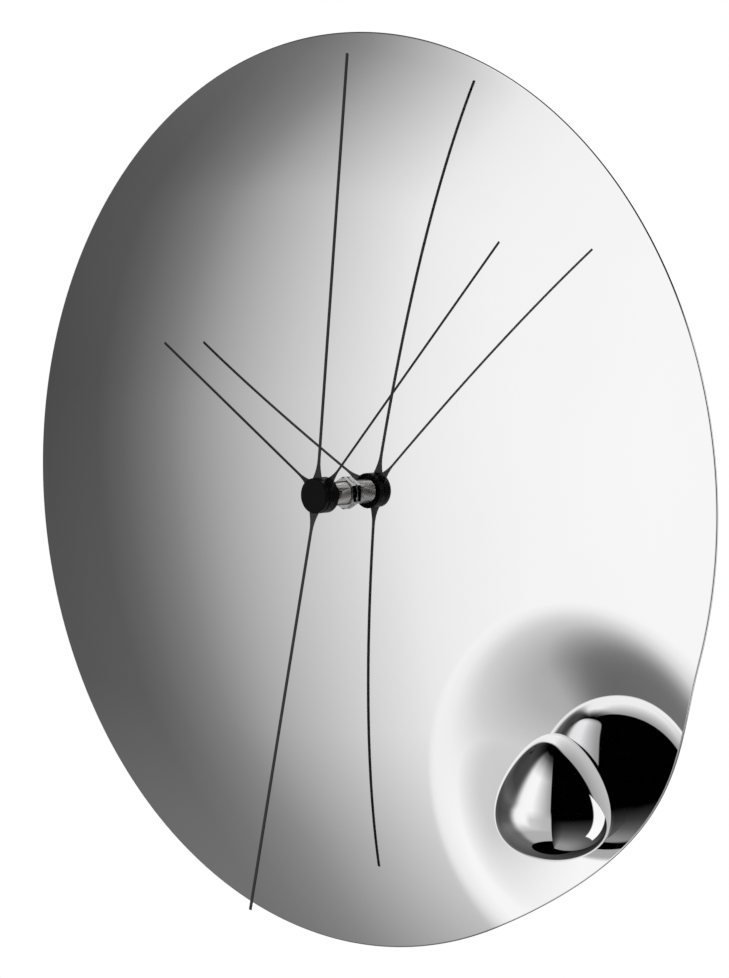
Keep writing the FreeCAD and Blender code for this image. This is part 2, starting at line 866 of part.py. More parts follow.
def make_third_arbor():
    third = module_of(S.third_distance, THIRD_WHEEL_TEETH, SECOND_PINION_TEETH)
    centre = module_of(S.third_distance, CENTRE_WHEEL_TEETH, THIRD_PINION_TEETH)
    x = -S.third_distance
    wheel_back = S.third_level + S.wheel_thick
    bridge_back = S.bridge_depth + S.bridge_thick
    pinion = gear(
        THIRD_PINION_TEETH, centre, PINION_TOOTH_SHARES, ZERO,
        S.centre_level - S.pinion_over, S.wheel_thick + S.pinion_over * 2, TO_RIGHT, True,
    )
    pinion_arbor(
        "third_arbor",
        [
            (S.pivot_radius, inside(bridge_back)),
            (S.arbor_radius, inside(wheel_back + S.pinion_over)),
            (S.pivot_radius, inside(wheel_back + S.pinion_over + S.pivot_length)),
        ],
        inside(bridge_back - S.pivot_length),
        pinion,
        x,
    )
    at(
        gear(
            THIRD_WHEEL_TEETH, third, WHEEL_TOOTH_SHARES, S.arbor_radius,
            S.third_level, S.wheel_thick, TO_RIGHT, False,
        ),
        "third_wheel",
        x,
    )


def make_step_arbor():
    step = module_of(S.step_distance, SECOND_WHEEL_TEETH, STEP_PINION_TEETH)
    rotor = module_of(S.rotor_distance, STEP_WHEEL_TEETH, ROTOR_PINION_TEETH)
    z = -S.step_distance
    bridge_back = S.bridge_depth + S.bridge_thick
    wheel_back = S.step_level + S.wheel_thick
    pinion = gear(
        STEP_PINION_TEETH, step, PINION_TOOTH_SHARES, ZERO,
        S.second_level - S.pinion_over, S.wheel_thick + S.pinion_over * 2, -DOWN, True,
    )
    pinion_arbor(
        "step_arbor",
        [
            (S.pivot_radius, inside(bridge_back)),
            (S.arbor_radius, inside(wheel_back + S.pinion_over)),
            (S.pivot_radius, inside(wheel_back + S.pinion_over + S.pivot_length)),
        ],
        inside(bridge_back - S.pivot_length),
        pinion,
        z=z,
    )
    at(
        gear(
            STEP_WHEEL_TEETH, rotor, WHEEL_TOOTH_SHARES, S.arbor_radius,
            S.step_level, S.wheel_thick, DOWN, False,
        ),
        "step_wheel",
        z=z,
    )


def make_rotor():
    rotor = module_of(S.rotor_distance, STEP_WHEEL_TEETH, ROTOR_PINION_TEETH)
    z = -S.step_distance - S.rotor_distance
    bridge_back = S.bridge_depth + S.bridge_thick
    magnet_back = S.magnet_level + S.magnet_thick
    pinion = gear(
        ROTOR_PINION_TEETH, rotor, PINION_TOOTH_SHARES, ZERO,
        S.step_level - S.pinion_over, S.wheel_thick + S.pinion_over * 2, -DOWN, True,
    )
    pinion_arbor(
        "rotor_arbor",
        [
            (S.pivot_radius, inside(bridge_back)),
            (S.arbor_radius, inside(magnet_back + S.pinion_over)),
            (S.pivot_radius, inside(magnet_back + S.pinion_over + S.pivot_length)),
        ],
        inside(bridge_back - S.pivot_length),
        pinion,
        z=z,
    )
    turned(
        "rotor_magnet",
        ring(S.arbor_radius, S.magnet_radius, inside(S.magnet_level), inside(magnet_back)),
        z=z,
    )


def make_setting_arbor():
    motion = module_of(S.setting_distance, SETTING_WHEEL_TEETH, CANNON_TEETH)
    hour = module_of(S.setting_distance, HOUR_WHEEL_TEETH, SETTING_PINION_TEETH)
    x = S.setting_distance
    cover_back = S.case_depth + S.cover_thick
    knob_front = inside(cover_back + S.knob_gap)
    pinion = gear(
        SETTING_PINION_TEETH, hour, PINION_TOOTH_SHARES, ZERO,
        S.hour_level - S.pinion_over, S.wheel_thick + S.pinion_over * 2, TO_LEFT, True,
    )
    pinion_arbor(
        "setting_arbor",
        [
            (S.pivot_radius, inside(S.case_wall + S.pinion_over)),
            (S.setting_shaft, knob_front + S.knob_thick - S.knob_notch),
        ],
        inside(S.case_wall - S.pivot_length),
        pinion,
        x,
    )
    at(
        gear(
            SETTING_WHEEL_TEETH, motion, WHEEL_TOOTH_SHARES, S.setting_shaft,
            S.motion_level, S.wheel_thick, TO_LEFT, False,
        ),
        "setting_wheel",
        x,
    )
    grip = Part.makeCylinder(
        S.knob_radius.value, S.knob_thick.value, knob_front_place(knob_front), Vector(0, 1, 0)
    )
    for notch in range(KNOB_NOTCHES):
        angle = 2 * math.pi * notch / KNOB_NOTCHES
        groove = straight_rod(
            S.knob_notch.value,
            knob_front.value - S.knob_thick.value,
            knob_front.value + S.knob_thick.value * 2,
            S.knob_radius.value * math.cos(angle),
            S.knob_radius.value * math.sin(angle),
        )
        grip = grip.cut(groove)
    socket_end = knob_front + S.knob_thick - S.knob_notch
    socket = straight_rod(S.setting_shaft.value, knob_front.value, socket_end.value)
    at(grip.cut(socket), "setting_knob", x)


def knob_front_place(front):
    return Vector(0, front.value, 0)


# Movement case, bridge and cover.
def bearing_spots():
    """Where the bridge carries front pivots: third, step and rotor arbors."""
    low = -S.step_distance
    return [(-S.third_distance, ZERO), (ZERO, low), (ZERO, low - S.rotor_distance)]


def is_case_corner(edge):
    if edge.Length < S.case_depth.value / 2 or len(edge.Vertexes) != 2:
        return False
    along = edge.Vertexes[1].Point - edge.Vertexes[0].Point
    middle = edge.CenterOfMass
    half = S.case_half.value
    upright = abs(abs(along.y) - edge.Length) < edge.Length / 1000
    return upright and abs(abs(middle.x) - half) + abs(abs(middle.z) - half) < half / 1000


def make_front_case():
    half = S.case_half
    room = half - S.case_wall
    floor = inside(S.case_wall)
    back = inside(S.case_depth)
    outside = rounded(
        block(-half, half, CASE_FRONT, back, -half, half), S.case_corner, is_case_corner
    )
    hollow = block(-room, room, floor, back + S.cover_thick, -room, room)
    bay_wall = block(
        -room, room, floor, back, S.bay_wall_top - S.bay_wall_thick, S.bay_wall_top
    )
    bridge_front = inside(S.bridge_depth)
    posts = [
        rod(S.post_radius, floor, bridge_front, x, z)
        for x, z in (
            (S.left_post_x, S.high_post_z),
            (S.right_post_x, S.high_post_z),
            (S.low_post_x, S.low_post_z),
            (-S.low_post_x, S.low_post_z),
        )
    ]
    shell = joined([less(outside, [hollow]), bay_wall] + posts)
    bushing_hole = rod(S.bushing_radius, CASE_FRONT - S.case_wall, floor + S.case_wall)
    pivot_hole = rod(
        S.pivot_radius + S.run_gap, floor - S.pivot_length, floor, S.setting_distance
    )
    keep(less(shell, [bushing_hole, pivot_hole]), "movement_front_case")


def make_bridge():
    front = inside(S.bridge_depth)
    back = front + S.bridge_thick
    board = block(
        -S.bridge_half, S.bridge_half, front, back, S.bridge_bottom, S.bridge_top
    )
    pillar_end = inside(S.stator_level)
    pillars = [
        rod(S.post_radius, back, pillar_end, x, S.low_post_z)
        for x in (S.low_post_x, -S.low_post_x)
    ]
    holes = [
        rod(S.pivot_radius + S.run_gap, back - S.pivot_length, back, x, z)
        for x, z in bearing_spots()
    ]
    holes.append(rod(S.minute_tube + S.run_gap, front, back))
    holes.append(rod(S.setting_shaft + S.run_gap, front, back, S.setting_distance))
    keep(less(joined([board] + pillars), holes), "train_bridge")


def make_rear_cover():
    half = S.case_half
    front = inside(S.case_depth)
    back = front + S.cover_thick
    plain = block(-half, half, front, back, -half, half)
    window = block(
        -S.window_half, S.window_half, front, back, S.window_low, S.window_high
    )
    room = half - S.case_wall - S.seat_gap
    lip = block(
        -room, room, front - S.case_wall, front, -room, S.bay_wall_top - S.bay_wall_thick
        - S.seat_gap,
    )
    lip_inner = room - S.case_wall
    lip_room = block(
        -lip_inner, lip_inner, front - S.case_wall, front, -lip_inner,
        S.bay_wall_top - S.bay_wall_thick - S.seat_gap - S.case_wall,
    )
    spots = bearing_spots()
    ends = (
        S.third_level + S.wheel_thick + S.pinion_over,
        S.step_level + S.wheel_thick + S.pinion_over,
        S.magnet_level + S.magnet_thick + S.pinion_over,
    )
    bosses = []
    holes = []
    for (x, z), end in zip(spots, ends):
        boss_front = inside(end + S.run_gap)
        bosses.append(rod(S.bearing_radius, boss_front, front, x, z))
        holes.append(
            rod(S.pivot_radius + S.run_gap, boss_front, boss_front + S.pivot_length, x, z)
        )
    second_end = inside(S.second_level + S.wheel_thick + S.pinion_over + S.run_gap)
    bosses.append(rod(S.bearing_radius, second_end, front))
    holes.append(
        rod(S.pivot_radius + S.run_gap, second_end, second_end + S.pivot_length * 2)
    )
    board_back = inside(S.board_level + S.board_thick)
    for z in (S.board_low, S.board_high):
        inward = S.post_radius if z is S.board_low else -S.post_radius
        bosses.append(rod(S.post_radius, board_back, front, S.board_right - S.post_radius,
                          z + inward))
    holes.append(
        rod(S.setting_shaft + S.run_gap, front, back, S.setting_distance)
    )
    frame = less(lip, [lip_room])
    keep(less(joined([plain, frame] + bosses), [window] + holes), "movement_rear_cover")


def make_motor():
    z = -S.step_distance - S.rotor_distance
    leg_inner = S.stator_half - S.stator_leg
    foot = S.coil_z - S.core_half_height
    bar_low = z - S.stator_bar_half
    plate(
        "stator",
        [
            [
                (-S.stator_half, foot),
                (-leg_inner, foot),
                (-leg_inner, bar_low),
                (leg_inner, bar_low),
                (leg_inner, foot),
                (S.stator_half, foot),
                (S.stator_half, z + S.stator_bar_half),
                (-S.stator_half, z + S.stator_bar_half),
            ]
        ],
        [(ZERO, z, S.stator_bore)],
        inside(S.stator_level),
        S.stator_thick,
    )
    core_front = inside(S.stator_level + S.stator_thick)
    core_back = core_front + S.stator_thick
    keep(
        block(
            -S.stator_half, S.stator_half, core_front, core_back,
            S.coil_z - S.core_half_height, S.coil_z + S.core_half_height,
        ),
        "coil_core",
    )
    middle = core_front + S.stator_thick / 2
    bore_y = S.stator_thick / 2 + S.bobbin_gap
    bore_z = S.core_half_height + S.bobbin_gap
    tube_y = bore_y + S.bobbin_wall
    tube_z = bore_z + S.bobbin_wall
    length = S.coil_half_length
    inner_end = length - S.flange_thick

    def sleeve(start, end, half_y, half_z):
        return block(
            start, end, middle - half_y, middle + half_y, S.coil_z - half_z, S.coil_z + half_z
        )

    flanges = [
        sleeve(-length, -inner_end, S.flange_half, S.flange_half),
        sleeve(inner_end, length, S.flange_half, S.flange_half),
    ]
    former = joined([sleeve(-length, length, tube_y, tube_z)] + flanges)
    keep(less(former, [sleeve(-length, length, bore_y, bore_z)]), "coil_bobbin")
    wound = sleeve(-inner_end, inner_end, S.winding_half, S.winding_half)
    keep(less(wound, [sleeve(-inner_end, inner_end, tube_y, tube_z)]), "coil_winding")


def make_power():
    """Battery lying along X with its two spring contacts."""
    body = doc.addObject("PartDesign::Body", "Cell")
    sketch = new_sketch(body, "XY_Plane")
    half = S.battery_half_length
    tip = half + S.button_length
    draw_loop(
        sketch,
        [
            (ZERO, -half),
            (S.battery_radius, -half),
            (S.battery_radius, half),
            (S.button_radius, half),
            (S.button_radius, tip),
            (ZERO, tip),
        ],
    )
    turn = body.newObject("PartDesign::Revolution", "Revolution")
    turn.Profile = sketch
    turn.ReferenceAxis = (sketch, ["V_Axis"])
    turn.Angle = 360
    body.Placement.Rotation = Rotation(Vector(0, 0, 1), -90)
    depth = inside(S.battery_depth)
    move(body, y=depth, z=S.battery_z)
    keep(body, "battery")
    room = S.case_half - S.case_wall
    for label, side, end in (
        ("contact_plus", 1, tip),
        ("contact_minus", -1, half),
    ):
        outer = room if side > 0 else -room
        face = room - S.contact_thick if side > 0 else -room + S.contact_thick
        low = S.battery_z - S.contact_height / 2
        strip = block(
            *((face, outer) if side > 0 else (outer, face)),
            depth - S.contact_half_width,
            depth + S.contact_half_width,
            low,
            low + S.contact_height,
        )
        spring = doc.addObject("Part::Cone", "Spring")
        bind(spring, "Radius1", S.contact_half_width)
        bind(spring, "Radius2", S.button_radius)
        bind(spring, "Height", room - S.contact_thick - end)
        turned_to = Rotation(Vector(0, 1, 0), -90 * side)
        spring.Placement.Rotation = turned_to
        move(spring, face, depth, S.battery_z)
        keep(joined([strip, spring]), label)


def make_circuit():
    front = inside(S.board_level)
    middle = (S.board_left + S.board_right) / 2
    board_back = front + S.board_thick
    keep(
        block(S.board_left, S.board_right, front, board_back, S.board_low, S.board_high),
        "circuit_board",
    )
    keep(
        block(
            middle - S.chip_half, middle + S.chip_half, front - S.chip_thick, front,
            S.chip_z - S.chip_half, S.chip_z + S.chip_half,
        ),
        "circuit_chip",
    )
    can = doc.addObject("Part::Cylinder", "Can")
    can.Placement.Rotation = Rotation(Vector(0, 1, 0), 90)
    bind(can, "Radius", S.crystal_radius)
    bind(can, "Height", S.crystal_half * 2)
    move(can, middle - S.crystal_half, front - S.crystal_radius, S.crystal_z)
    keep(can, "quartz_crystal")


def back_of_dish(radius):
    """Y of the dish's back at a radius clear of the crater, bound to the sheet."""
    share = radius / S.dish_radius
    square = share * share
    fall = S.dome_square * square + S.dome_fourth * square * square
    return DISH_FRONT + S.dish_thick + fall


def make_hanger():
    """A bent steel bracket with two keyholes, held by four studs with nuts."""
    thick = S.sheet_thick
    outer = S.hanger_half + S.foot_reach
    far_corner = Size(
        math.hypot(outer.value, S.foot_half_height.value),
        f"sqrt({outer.text} ^ 2 + {S.foot_half_height.text} ^ 2)",
    )
    foot_front = back_of_dish(far_corner) + S.foot_gap
    back_plate = padded(
        [
            rectangle(-S.hanger_half, S.hanger_half, S.hanger_low, S.hanger_high),
            [
                (S.hanger_step_x, S.hanger_window_low),
                (S.hanger_window_half, S.hanger_window_low),
                (S.hanger_window_half, S.hanger_window_high),
                (-S.hanger_window_half, S.hanger_window_high),
                (-S.hanger_window_half, S.hanger_step_z),
                (S.hanger_step_x, S.hanger_step_z),
            ],
        ],
        [],
        -thick,
        thick,
    )
    legs = [
        block(left, left + thick, foot_front, ZERO, -S.foot_half_height, S.foot_half_height)
        for left in (-S.hanger_half, S.hanger_half - thick)
    ]
    feet = [
        block(
            left, left + S.foot_reach + thick, foot_front, foot_front + thick,
            -S.foot_half_height, S.foot_half_height,
        )
        for left in (-outer, S.hanger_half - thick)
    ]
    holes = [
        rod(S.fix_hole, foot_front, foot_front + thick, x, z)
        for x in (-S.fix_x, S.fix_x)
        for z in (-S.fix_z, S.fix_z)
    ]
    for x in (-S.keyhole_x, S.keyhole_x):
        holes.append(rod(S.keyhole_radius, -thick, ZERO, x, S.keyhole_z))
        top = S.keyhole_z + S.keyhole_rise
        holes.append(rod(S.keyhole_slot, -thick, ZERO, x, top))
        holes.append(
            block(x - S.keyhole_slot, x + S.keyhole_slot, -thick, ZERO, S.keyhole_z, top)
        )
    bracket = less(joined([back_plate] + legs + feet), holes)
    bracket.Refine = True
    keep(bracket, "hanger_bracket")
    ring_radius = Size(
        math.hypot(S.fix_x.value, S.fix_z.value), f"sqrt({S.fix_x.text} ^ 2 + {S.fix_z.text} ^ 2)"
    )
    stud_front = back_of_dish(ring_radius) + S.foot_gap * 2
    spots = [(x, z) for x in (-S.fix_x, S.fix_x) for z in (-S.fix_z, S.fix_z)]
    studs = [rod(S.fix_radius, stud_front, foot_front + S.fix_tail, x, z) for x, z in spots]
    group = doc.addObject("Part::Compound", "Studs")
    group.Links = studs
    keep(group, "bracket_studs")
    nuts = [
        padded([hexagon(S.fix_nut_flats, x, z)], [(x, z, S.fix_radius)], foot_front + thick,
               S.fix_nut_thick)
        for x, z in spots
    ]
    nut_group = doc.addObject("Part::Compound", "Nuts")
    nut_group.Links = nuts
    keep(nut_group, "bracket_nuts")


def write_parts():
    """Checks every object and every shape, then writes one file for each piece."""
    doc.recompute()
    failed = [o.Label for o in doc.Objects if "Invalid" in o.State or "Error" in o.State]
    if failed:
        raise RuntimeError(f"failed objects: {failed}")
    for piece in pieces:
        if piece.Shape.isNull() or not piece.Shape.isValid() or not piece.Shape.Solids:
            raise RuntimeError(f"bad shape: {piece.Label}")
    os.makedirs("parts", exist_ok=True)
    for piece in pieces:
        piece.Shape.exportStep(f"parts/{piece.Label}.step")
    print(len(pieces), "pieces")


make_dish()
make_pebble()
make_pebble_fastener()
make_hands()
make_hubs()
make_bushing()
make_hand_arbors()
make_third_arbor()
make_step_arbor()
make_rotor()
make_setting_arbor()
make_front_case()
make_bridge()
make_rear_cover()
make_motor()
make_power()
make_circuit()
make_hanger()
write_parts()
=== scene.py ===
import json
import math

import bmesh
import bpy
import numpy as np
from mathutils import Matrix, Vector


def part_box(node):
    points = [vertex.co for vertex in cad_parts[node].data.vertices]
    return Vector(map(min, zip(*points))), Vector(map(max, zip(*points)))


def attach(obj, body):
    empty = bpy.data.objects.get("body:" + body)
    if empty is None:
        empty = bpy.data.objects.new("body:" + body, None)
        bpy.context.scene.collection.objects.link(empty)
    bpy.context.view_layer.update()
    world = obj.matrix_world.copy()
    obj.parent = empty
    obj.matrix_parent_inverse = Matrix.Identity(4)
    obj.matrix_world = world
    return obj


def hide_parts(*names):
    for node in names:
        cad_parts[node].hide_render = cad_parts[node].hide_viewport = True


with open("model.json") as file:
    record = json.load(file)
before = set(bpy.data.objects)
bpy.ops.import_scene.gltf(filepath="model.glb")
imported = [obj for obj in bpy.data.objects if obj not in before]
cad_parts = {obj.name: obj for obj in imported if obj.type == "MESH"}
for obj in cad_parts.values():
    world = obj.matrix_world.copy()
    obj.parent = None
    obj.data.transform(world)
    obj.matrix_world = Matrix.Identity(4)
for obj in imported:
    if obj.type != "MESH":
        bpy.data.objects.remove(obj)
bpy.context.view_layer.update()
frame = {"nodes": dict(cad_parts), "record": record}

# Shape of the dish and the pebble, in millimetres, as in the CAD source.
MM = 0.001
DISH_RADIUS = 225.0
DISH_THICK = 1.2
DISH_STAND = 40.0
DISH_BORE = 6.2
DOME_SQUARE = 10.97
DOME_FOURTH = 5.735
CRATER_ANGLE = math.radians(133.4)
CRATER_INSET = 25.5
CRATER_REACH = DISH_RADIUS - CRATER_INSET
CRATER_RADIUS = 95.0
CRATER_DEPTH = 19.0
CRATER_X = CRATER_REACH * math.sin(CRATER_ANGLE)
CRATER_Z = CRATER_REACH * math.cos(CRATER_ANGLE)
PEBBLE_LEFT = 15.6
PEBBLE_LOW = 3.4
PEBBLE_SINK = 8.0
PEBBLE_X = CRATER_X - PEBBLE_LEFT
PEBBLE_Y = -DISH_STAND + PEBBLE_SINK
PEBBLE_Z = CRATER_Z - PEBBLE_LOW
PEBBLE_HALF_HEIGHT = 31.1
PEBBLE_RADIUS = 28.1
PEBBLE_TAPER = 7.5

# Threaded bushing, in millimetres.
BUSHING_RADIUS = 5.9
BUSHING_BORE = 2.65
THREAD_PITCH = 0.75
THREAD_DEPTH = 0.42
THREAD_STEEPNESS = 1.3
THREAD_STEPS = 8
THREAD_SHARP = math.radians(50)
BUSHING_EDGE = 0.3
BUSHING_SPOKES = 96

# How finely the polished pieces are divided, and their edges in millimetres.
DISH_RINGS = 150
DISH_BACK_RINGS = 30
DISH_SPOKES = 500
RIM_ROUND = 0.35
PEBBLE_ROWS = 190
PEBBLE_COLUMNS = 260
PEBBLE_ROOT = 0.4
MERGE_DISTANCE = 0.001

# The studio as the mirror shows it: stops of an angle in degrees and a strength, where 1 is white.
PANEL_SOFT_END = [
    (-66, 0.0), (-59, 0.016), (-56, 0.055), (-53, 0.13), (-51.5, 0.19), (-47, 0.46),
    (-40.4, 0.89), (-36, 0.965), (-25, 1.0),
]
ROOM_UPRIGHT = [
    (-60, 0.3), (-36, 0.3), (-24, 0.25), (-12, 0.10), (-2, 0.075), (6, 0.09), (12, 0.13),
    (25, 0.06),
]
ROOM_ACROSS = [(-180, 0.1), (-66, 1.0)]
PANEL_FADE_HIGH = [(-3, 1.0), (14, 0.67), (30, 0.40), (34, 0.38), (34.6, 0.0)]
PANEL_FADE_LOW = [(-17, 1.0), (-6, 0.66), (20, 0.52), (35.4, 0.50), (36, 0.0)]
PANEL_LOW_LIMIT = [(-64, 0.0), (-63, 0.45), (-35, 0.47), (-24, 0.68), (-17, 0.92), (-12, 1.0)]
PANEL_TOP = [(48, 1.0), (63, 0.35), (70, 0.11), (78, 0.0)]
STRIP_ACROSS = [(123.4, 0.0), (124, 1.0), (157, 1.0), (157.6, 0.0)]
STRIP_UPRIGHT = [(-43, 0.0), (-42.5, 1.0), (28, 1.0), (28.5, 0.0)]
GLOW_UPRIGHT = [(-75, 0.3), (-50, 0.12), (-30, 0.045), (-8, 0.0)]
GLOW_ACROSS = [(34, 0.0), (60, 1.0), (180, 1.0)]

# All directions, in degrees.
UPRIGHT_RANGE = (-90, 90)
ACROSS_RANGE = (-180, 180)

# Angles upright between which the low fade turns into the high one.
HIGH_START = -8.0
HIGH_END = 8.0

# How far the panel is turned across at each angle upright, both in degrees.
PANEL_SHIFT = [
    (-36, 12), (-24, 5), (-17, 4), (-12, 1.6), (-3, 0), (4, 1.5), (9.5, 6), (12.5, 8), (50, 10),
]

# A ramp holds 0 to 1, so the turn is kept as a share of a span, counted from its middle.
SHIFT_MIDDLE = 0.5
SHIFT_SPAN = 100.0

# The part of the noise that is spread over a finish's two tones.
GRAIN_LOW = 0.3
GRAIN_HIGH = 0.7

# A wave texture repeats each pi / (10 scale).
WAVE_FACTOR = 10

# Pitch of the coil's wire, in millimetres.
WIRE_PITCH = 0.2

# Camera: its direction as seen from the dish's centre, its distance in metres, and its lens.
CAMERA_AZIMUTH = math.radians(42.84)
CAMERA_ELEVATION = math.radians(5.08)
CAMERA_DISTANCE = 5.122
CAMERA_LENS = 385.1
CAMERA_SENSOR = 36.0
CAMERA_SHIFT = (0.0183, 0.0038)
CAMERA_CLIP = 20.0

# Floor, in metres, with its tone and roughness.
FLOOR_LEVEL = -1.2
FLOOR_HALF = 4.0
FLOOR_TONE = 0.85
FLOOR_ROUGHNESS = 0.9


def dish_front(x, z):
    """Y of the dish's front, in millimetres."""
    share = (x**2 + z**2) / DISH_RADIUS**2
    fall = DOME_SQUARE * share + DOME_FOURTH * share**2
    reach = ((x - CRATER_X) ** 2 + (z - CRATER_Z) ** 2) / CRATER_RADIUS**2
    return -DISH_STAND + fall + CRATER_DEPTH * np.clip(1 - reach, 0, None) ** 2


def new_piece(name, places, faces, slot_name):
    mesh = bpy.data.meshes.new(name)
    mesh.from_pydata([tuple(place) for place in places * MM], [], faces)
    mesh.update()
    mesh.polygons.foreach_set("use_smooth", [True] * len(mesh.polygons))
    piece = bpy.data.objects.new(name, mesh)
    bpy.context.scene.collection.objects.link(piece)
    mesh.materials.append(MATERIALS[slot_name])
    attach(piece, "dish_body")
    return piece


def lattice(rows, columns, wrap_rows):
    """Faces of a grid whose columns close on themselves, and its rows too where asked."""
    faces = []
    for i in range(rows if wrap_rows else rows - 1):
        for j in range(columns):
            low, high = i * columns, (i + 1) % rows * columns
            k = (j + 1) % columns
            faces.append((low + j, low + k, high + k, high + j))
    return faces


def make_dish():
    inner = DISH_BORE
    outer = DISH_RADIUS - RIM_ROUND
    half_round = RIM_ROUND * (1 - math.sqrt(0.5))
    front = [(r, 0.0) for r in np.linspace(inner, outer - RIM_ROUND, DISH_RINGS)]
    rim = [
        (outer, 0.0),
        (DISH_RADIUS - half_round, half_round),
        (DISH_RADIUS, RIM_ROUND),
        (DISH_RADIUS, DISH_THICK - RIM_ROUND),
        (DISH_RADIUS - half_round, DISH_THICK - half_round),
        (outer, DISH_THICK),
    ]
    back = [(r, DISH_THICK) for r in np.linspace(outer - RIM_ROUND, inner, DISH_BACK_RINGS)]
    profile = np.array(front + rim + back)
    turn = np.linspace(0, 2 * math.pi, DISH_SPOKES, endpoint=False)
    x = np.outer(profile[:, 0], np.sin(turn))
    z = np.outer(profile[:, 0], np.cos(turn))
    y = dish_front(x, z) + profile[:, 1:2]
    places = np.stack([x, y, z], axis=-1).reshape(-1, 3)
    piece = new_piece(
        "dish_skin", places, lattice(len(profile), DISH_SPOKES, True), "mirror_steel"
    )
    piece.data.materials.append(MATERIALS["satin_steel"])
    first_back = (len(front) + len(rim) - 1) * DISH_SPOKES
    for polygon in piece.data.polygons[first_back:-DISH_SPOKES]:
        polygon.material_index = 1
    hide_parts("dish")


def make_pebble():
    """The egg, trimmed just behind the dish's front."""
    height = -np.cos(np.linspace(0, math.pi, PEBBLE_ROWS))
    radius = np.sqrt(np.clip(1 - height**2, 0, None)) * (PEBBLE_RADIUS - PEBBLE_TAPER * height)
    turn = np.linspace(0, 2 * math.pi, PEBBLE_COLUMNS, endpoint=False)
    x = PEBBLE_X + np.outer(radius, np.cos(turn))
    y = PEBBLE_Y + np.outer(radius, np.sin(turn))
    z = PEBBLE_Z + np.outer(height * PEBBLE_HALF_HEIGHT, np.ones(PEBBLE_COLUMNS))
    root = dish_front(x, z) + PEBBLE_ROOT
    sunk = (y > root).reshape(-1)
    places = np.stack([x, np.minimum(y, root), z], axis=-1).reshape(-1, 3)
    faces = [
        face for face in lattice(PEBBLE_ROWS, PEBBLE_COLUMNS, False) if not sunk[list(face)].all()
    ]
    piece = new_piece("pebble_skin", places, faces, "mirror_steel")
    cleaned = bmesh.new()
    cleaned.from_mesh(piece.data)
    bmesh.ops.remove_doubles(cleaned, verts=cleaned.verts, dist=MERGE_DISTANCE * MM)
    loose = [vertex for vertex in cleaned.verts if not vertex.link_faces]
    bmesh.ops.delete(cleaned, geom=loose, context="VERTS")
    cleaned.to_mesh(piece.data)
    cleaned.free()
    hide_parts("pebble_shell")


def make_bushing():
    """The bushing with its thread cut as a helix, inside the CAD cylinder."""
    low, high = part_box("bushing")
    front, back = low.y / MM, high.y / MM
    turn = np.linspace(0, 2 * math.pi, BUSHING_SPOKES, endpoint=False)
    count = int((back - front) / THREAD_PITCH * THREAD_STEPS)
    levels = np.linspace(front, back, count)
    phase = levels[:, None] / THREAD_PITCH + turn[None, :] / (2 * math.pi)
    flank = np.abs(2 * (phase % 1) - 1)
    tread = np.clip(flank * THREAD_STEEPNESS, 0, 1)
    from_end = np.minimum(levels - front, back - levels)[:, None]
    ease = np.clip(1 - from_end / BUSHING_EDGE, 0, None) * BUSHING_EDGE
    radius = BUSHING_RADIUS - np.maximum(THREAD_DEPTH * (1 - tread), ease)
    bore = np.full((1, BUSHING_SPOKES), BUSHING_BORE)
    radius = np.concatenate([bore, radius, bore])
    levels = np.concatenate([[front], levels, [back]])
    x = radius * np.sin(turn)
    z = radius * np.cos(turn)
    y = np.repeat(levels[:, None], BUSHING_SPOKES, axis=1)
    places = np.stack([x, y, z], axis=-1).reshape(-1, 3)
    faces = lattice(len(levels), BUSHING_SPOKES, True)
    piece = new_piece("bushing_thread", places, faces, "nickel_brass")
    piece.data.set_sharp_from_angle(angle=THREAD_SHARP)
    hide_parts("bushing")


